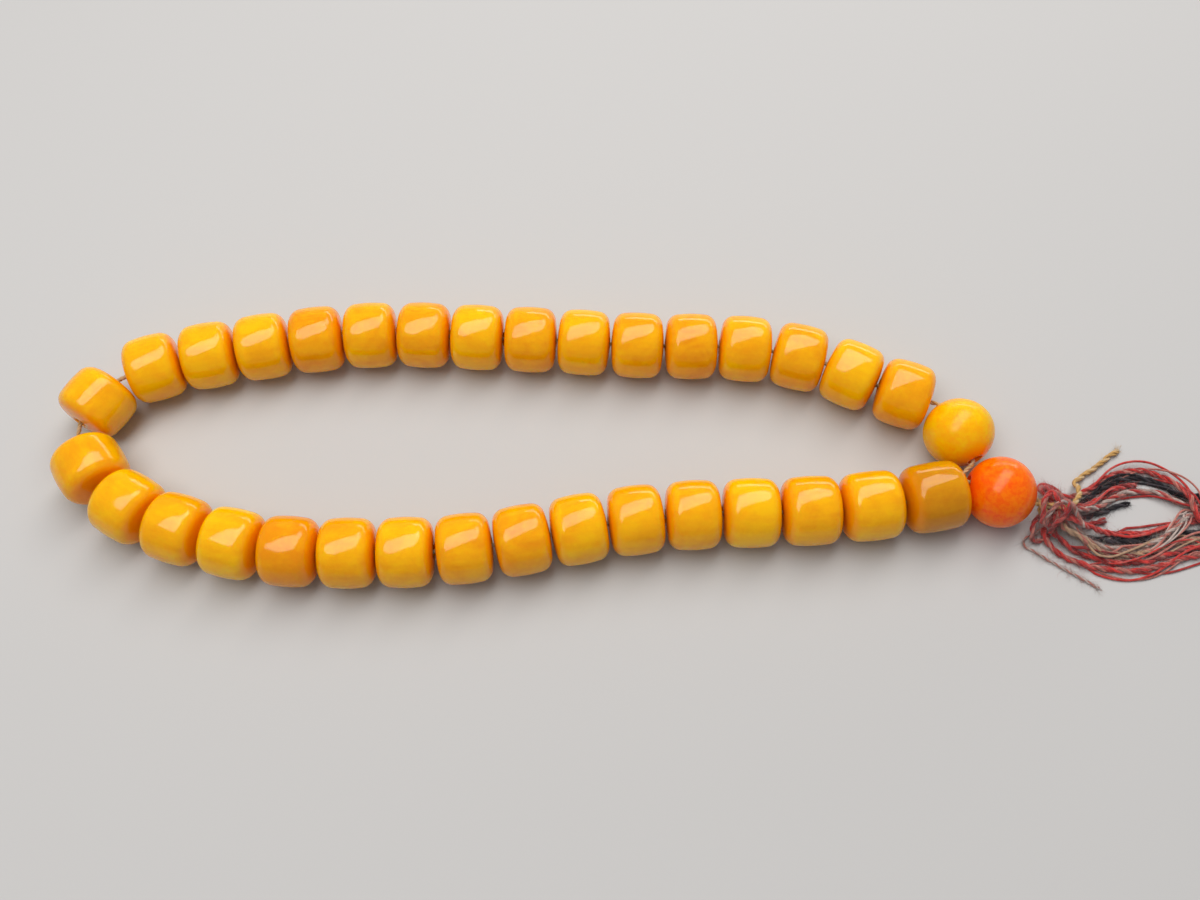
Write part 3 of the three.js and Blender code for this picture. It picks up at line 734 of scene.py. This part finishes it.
# The direction of each bead's bore, from its joint. The slides' axes point the other way from the spins'.
bead_axes = {}
for joint in frame["joints"]:
    if joint["name"].endswith("_spin"):
        bead_axes[joint["child"]] = Vector(joint["axis"]).normalized()
    elif joint["name"].endswith("_slide"):
        bead_axes[joint["child"]] = -Vector(joint["axis"]).normalized()


def bead_centre(name):
    low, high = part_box(name)
    return (low + high) / 2


def arc(centre_along, centre_radius, radius, start, end, steps):
    """Points on a rounding of an outline, from one angle to the other, measured from the side's direction."""
    points = []
    for index in range(steps + 1):
        angle = start + (end - start) * index / steps
        points.append((centre_along + radius * math.sin(angle), centre_radius + radius * math.cos(angle)))
    return points


def barrel_length(number):
    return BARREL_LENGTH + CUT_LONGER.get(number, 0)


def barrel_outline(number):
    """Half of a barrel bead's outline, from the middle of its side to the middle of its bore."""
    half = barrel_length(number) / 2
    middle = BARREL_DIAMETER / 2
    bore = BARREL_BORE / 2
    rim_start = half - BARREL_DOME - BARREL_RIM
    lean = math.atan(2 * BARREL_FALL / rim_start)
    points = []
    for index in range(5):
        along = rim_start * index / 5
        points.append((along, middle - BARREL_FALL * (along / rim_start) ** 2))
    points += arc(rim_start, middle - BARREL_RIM - BARREL_FALL, BARREL_RIM, lean * 0.6, math.pi / 2 - 0.12, 9)
    face_along, face_radius = points[-1]
    mouth_radius = bore + BARREL_MOUTH_ROUND
    mouth_along = half - BARREL_MOUTH_DIP
    for index in range(1, 5):
        share = index / 5
        along = face_along + BARREL_DOME * 0.85 * math.sin(share * math.pi / 2)
        points.append((min(along, half - 0.02 * MM), face_radius + (mouth_radius - face_radius) * share))
    for index in range(5):
        angle = math.pi / 2 * index / 4
        points.append((mouth_along - BARREL_MOUTH_ROUND * (1 - math.cos(angle)),
                       mouth_radius - BARREL_MOUTH_ROUND * math.sin(angle)))
    points += [(half * 0.5, bore), (0.0, bore)]
    return points


def round_outline(length, diameter, bore):
    """Half of a round bead's outline, from the middle of its side to the middle of its bore."""
    mouth = math.asin(bore / diameter)
    stretch = length / 2 / math.cos(mouth)
    last = math.pi / 2 - mouth - 0.07
    inner = bore / 2
    points = []
    for index in range(15):
        angle = last * index / 14
        points.append((stretch * math.sin(angle), diameter / 2 * math.cos(angle)))
    edge_along, edge_radius = points[-1]
    for index in range(1, 5):
        angle = math.pi / 2 * index / 4
        lip = ROUND_MOUTH_LIP * math.sin(angle * 2)
        points.append((edge_along + lip - ROUND_MOUTH_DEPTH * (1 - math.cos(angle)),
                       edge_radius - (edge_radius - inner) * math.sin(angle)))
    points += [(length * 0.25, inner), (0.0, inner)]
    return points


def turned_bead(name, outline, seed, shade, wobble, material):
    """A turned bead along its own X axis, a little uneven, with its shade at each vertex."""
    draw = random.Random(seed)
    shift = Vector((draw.uniform(-1, 1), draw.uniform(-1, 1), draw.uniform(-1, 1))) * 40
    whole = outline + [(-along, radius) for along, radius in reversed(outline[1:-1])]
    widest = max(radius for _, radius in outline)
    shape = Shape()
    for along, radius in whole:
        for corner in range(BEAD_SIDES):
            angle = 2 * math.pi * corner / BEAD_SIDES
            outward = Vector((0, math.cos(angle), math.sin(angle)))
            point = Vector((along, 0, 0)) + outward * radius
            uneven = wobble * (0.5 + 0.5 * noise.noise(point / MM * 0.16 + shift))
            across = 1 - uneven if radius > widest * 0.4 else 1.0
            shape.vertices.append(Vector((point.x * (1 - uneven * 0.5), point.y * across, point.z * across)))
            shape.shades.append((shade, shade, shade))
            shape.places.append((shift.x, shift.y))
    for ring in range(len(whole)):
        here = ring * BEAD_SIDES
        after = (ring + 1) % len(whole) * BEAD_SIDES
        for corner in range(BEAD_SIDES):
            beside = (corner + 1) % BEAD_SIDES
            shape.faces.append((here + corner, after + corner, after + beside, here + beside))
    return shape.build(name, material)


# The end colour of each resin is a painted glow at the bead's ends, where the beads meet.
AMBER = resin_material("amber_resin", light=(0.97, 0.52, 0.001), deep=(0.80, 0.30, 0.0005),
                       painted_end_glow=(0.95, 0.33, 0.0005), half_length=BARREL_LENGTH / 2,
                       gloss=0.05, mottle=200, glow=0.70)
OLIVE = resin_material("olive_resin", light=(0.72, 0.33, 0.001), deep=(0.56, 0.20, 0.0005),
                       painted_end_glow=(0.76, 0.27, 0.0005), half_length=BARREL_LENGTH / 2,
                       gloss=0.04, mottle=180, glow=0.75, streak=0.2)
YELLOW_ORANGE = resin_material("yellow_orange_resin", light=(1.0, 0.56, 0.0005), deep=(1.0, 0.38, 0.0005),
                               painted_end_glow=(1.0, 0.34, 0.0005), half_length=ROUND_LENGTH / 2,
                               gloss=0.20, mottle=480, glow=0.85, streak=0.25, speckle=0.16, index=1.30)
ORANGE = resin_material("orange_resin", light=(1.0, 0.22, 0.0005), deep=(0.94, 0.085, 0.0005),
                        painted_end_glow=(0.92, 0.08, 0.0005), half_length=TERMINAL_LENGTH / 2,
                        gloss=0.15, mottle=480, glow=0.75, streak=0.30, speckle=0.24, index=1.30)

# How deep a bead's colour is, where it stands out from the rest: 0 is the palest and 1 the deepest.
SHADES = {
    2: 0.55, 3: 0.15, 4: 0.45, 6: 0.65, 8: 0.25, 9: 0.55, 10: 0.25, 11: 0.6, 13: 0.75, 14: 0.3, 15: 0.2,
    17: 0.35, 21: 0.2, 22: 0.9, 24: 0.35, 25: 0.6, 26: 0.65, 27: 0.35, 29: 0.45, 30: 0.2, 31: 0.5, 33: 0.5,
}


def place_bead(bead, name):
    """Lays a turned bead in its place on the string."""
    axis = bead_axes[name]
    across = Vector((-axis.y, axis.x, 0))
    turn = Matrix((axis, across, Vector((0, 0, 1)))).transposed().to_4x4()
    bead.matrix_world = Matrix.Translation(bead_centre(name)) @ turn
    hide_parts(name)
    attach(bead, name)


def make_beads():
    for number, name in enumerate(BEAD_NAMES, start=1):
        draw = random.Random(300 + number)
        shade = SHADES.get(number, draw.uniform(0.3, 0.55))
        if number == 1:
            outline = round_outline(ROUND_LENGTH, ROUND_DIAMETER, ROUND_BORE)
            material, finish = YELLOW_ORANGE, "resin_orange_yellow"
        else:
            outline = barrel_outline(number)
            material, finish = (OLIVE, "resin_olive") if number == 33 else (AMBER, "resin_amber")
        bead = turned_bead(name + "_polished", outline, 500 + number, shade, 0.004, material)
        place_bead(bead, name)
    outline = round_outline(TERMINAL_LENGTH, TERMINAL_DIAMETER, TERMINAL_BORE)
    bead = turned_bead("terminal_bead_polished", outline, 600, 0.45, 0.006, ORANGE)
    place_bead(bead, "terminal_bead")


make_beads()


# ---------------------------------------------------------------- string through the beads

def beside_mouth(name, half_length, end, inset, sideways):
    """A point by a bead's mouth: end is 1 for the mouth that its axis points out of, -1 for the other."""
    axis = bead_axes[name]
    left = Vector((-axis.y, axis.x, 0))
    return bead_centre(name) + axis * end * (half_length - inset) + left * sideways


def enter_knot(start):
    """Where a run of string from start goes into the knot."""
    away = (start - knot_centre).normalized()
    return knot_centre + away * (KNOT_DIAMETER / 2 - 0.2 * MM)


def make_string():
    """One string: knot, terminal bead, all the beads in turn, and back through the terminal bead."""
    half_terminal = TERMINAL_LENGTH / 2
    half_round = ROUND_LENGTH / 2
    points = [
        enter_knot(beside_mouth("terminal_bead", half_terminal, -1, 0, -STRING_SPREAD)),
        beside_mouth("terminal_bead", half_terminal, -1, STRING_INSET, -STRING_SPREAD),
        beside_mouth("terminal_bead", half_terminal, 1, STRING_INSET, -STRING_SPREAD),
        beside_mouth("terminal_bead", half_terminal, 1, -0.95 * MM, -0.9 * MM),
        beside_mouth("terminal_bead", half_terminal, 1, -0.5 * MM, -2.5 * MM),
        beside_mouth("bead_01_round", half_round, -1, -0.3 * MM, 0.6 * MM),
        beside_mouth("bead_01_round", half_round, -1, STRING_INSET, 0.4 * MM),
        beside_mouth("bead_01_round", half_round, 1, STRING_INSET, 0),
    ]
    for number, name in enumerate(BEAD_NAMES[1:], start=2):
        half_barrel = barrel_length(number) / 2
        points.append(beside_mouth(name, half_barrel, 1, STRING_INSET, 0))
        points.append(beside_mouth(name, half_barrel, -1, STRING_INSET, 0))
    points += [
        beside_mouth("terminal_bead", half_terminal, 1, STRING_INSET, STRING_SPREAD),
        beside_mouth("terminal_bead", half_terminal, -1, STRING_INSET, STRING_SPREAD),
        enter_knot(beside_mouth("terminal_bead", half_terminal, -1, 0, STRING_SPREAD)),
    ]
    shape = Shape()
    add_plies(shape, smooth_line(points, 0.3 * MM), STRING_DIAMETER, (PALE_CORD, CORD, PALE_CORD),
              random.Random(21), twist=3.0, hair=0.0, fray=0.0, loosen=0.05)
    string = shape.build("string_twisted", CORD_MATERIAL)
    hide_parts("string")
    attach(string, "string")


make_string()


# ---------------------------------------------------------------- floor and light

FLOOR_REACH = 12.0
FLOOR_LEVEL = -0.02 * MM


def make_floor():
    mesh = bpy.data.meshes.new("floor")
    corners = [(x * FLOOR_REACH, y * FLOOR_REACH, FLOOR_LEVEL)
               for x, y in ((-1, -1), (1, -1), (1, 1), (-1, 1))]
    mesh.from_pydata(corners, [], [(0, 1, 2, 3)])
    material, _, shader = new_material("pale_floor")
    shader.inputs["Base Color"].default_value = (0.54, 0.535, 0.53, 1.0)
    shader.inputs["Roughness"].default_value = 0.85
    shader.inputs["Specular IOR Level"].default_value = 0.2
    mesh.materials.append(material)
    floor = bpy.data.objects.new("floor", mesh)
    scene.collection.objects.link(floor)


def add_light(name, away, distance, heading, long_side, short_side, power, colour):
    """A rectangular soft light that faces the beads. Its long side lies at a heading in plan, in degrees."""
    data = bpy.data.lights.new(name, "AREA")
    data.shape = "RECTANGLE"
    data.size = long_side
    data.size_y = short_side
    data.energy = power
    data.color = colour
    light = bpy.data.objects.new(name, data)
    back = Vector(away).normalized()
    side = Vector((math.cos(math.radians(heading)), math.sin(math.radians(heading)), 0))
    side = (side - back * side.dot(back)).normalized()
    turn = Matrix((side, back.cross(side), back)).transposed()
    light.matrix_world = Matrix.Translation(back * distance) @ turn.to_4x4()
    scene.collection.objects.link(light)


make_floor()
add_light("key", away=(-0.05, 0.26, 0.965), distance=0.60, heading=50, long_side=1.10, short_side=0.32,
          power=5.15, colour=(1.0, 0.965, 0.93))
add_light("back", away=(0.35, 1.0, 0.18), distance=0.9, heading=0, long_side=0.8, short_side=0.14,
          power=1.2, colour=(1.0, 0.98, 0.95))

world = bpy.data.worlds.new("studio")
world.use_nodes = True
sky = world.node_tree.nodes["Background"]
sky.inputs["Color"].default_value = (0.86, 0.90, 0.95, 1.0)
sky.inputs["Strength"].default_value = 0.30
scene.world = world
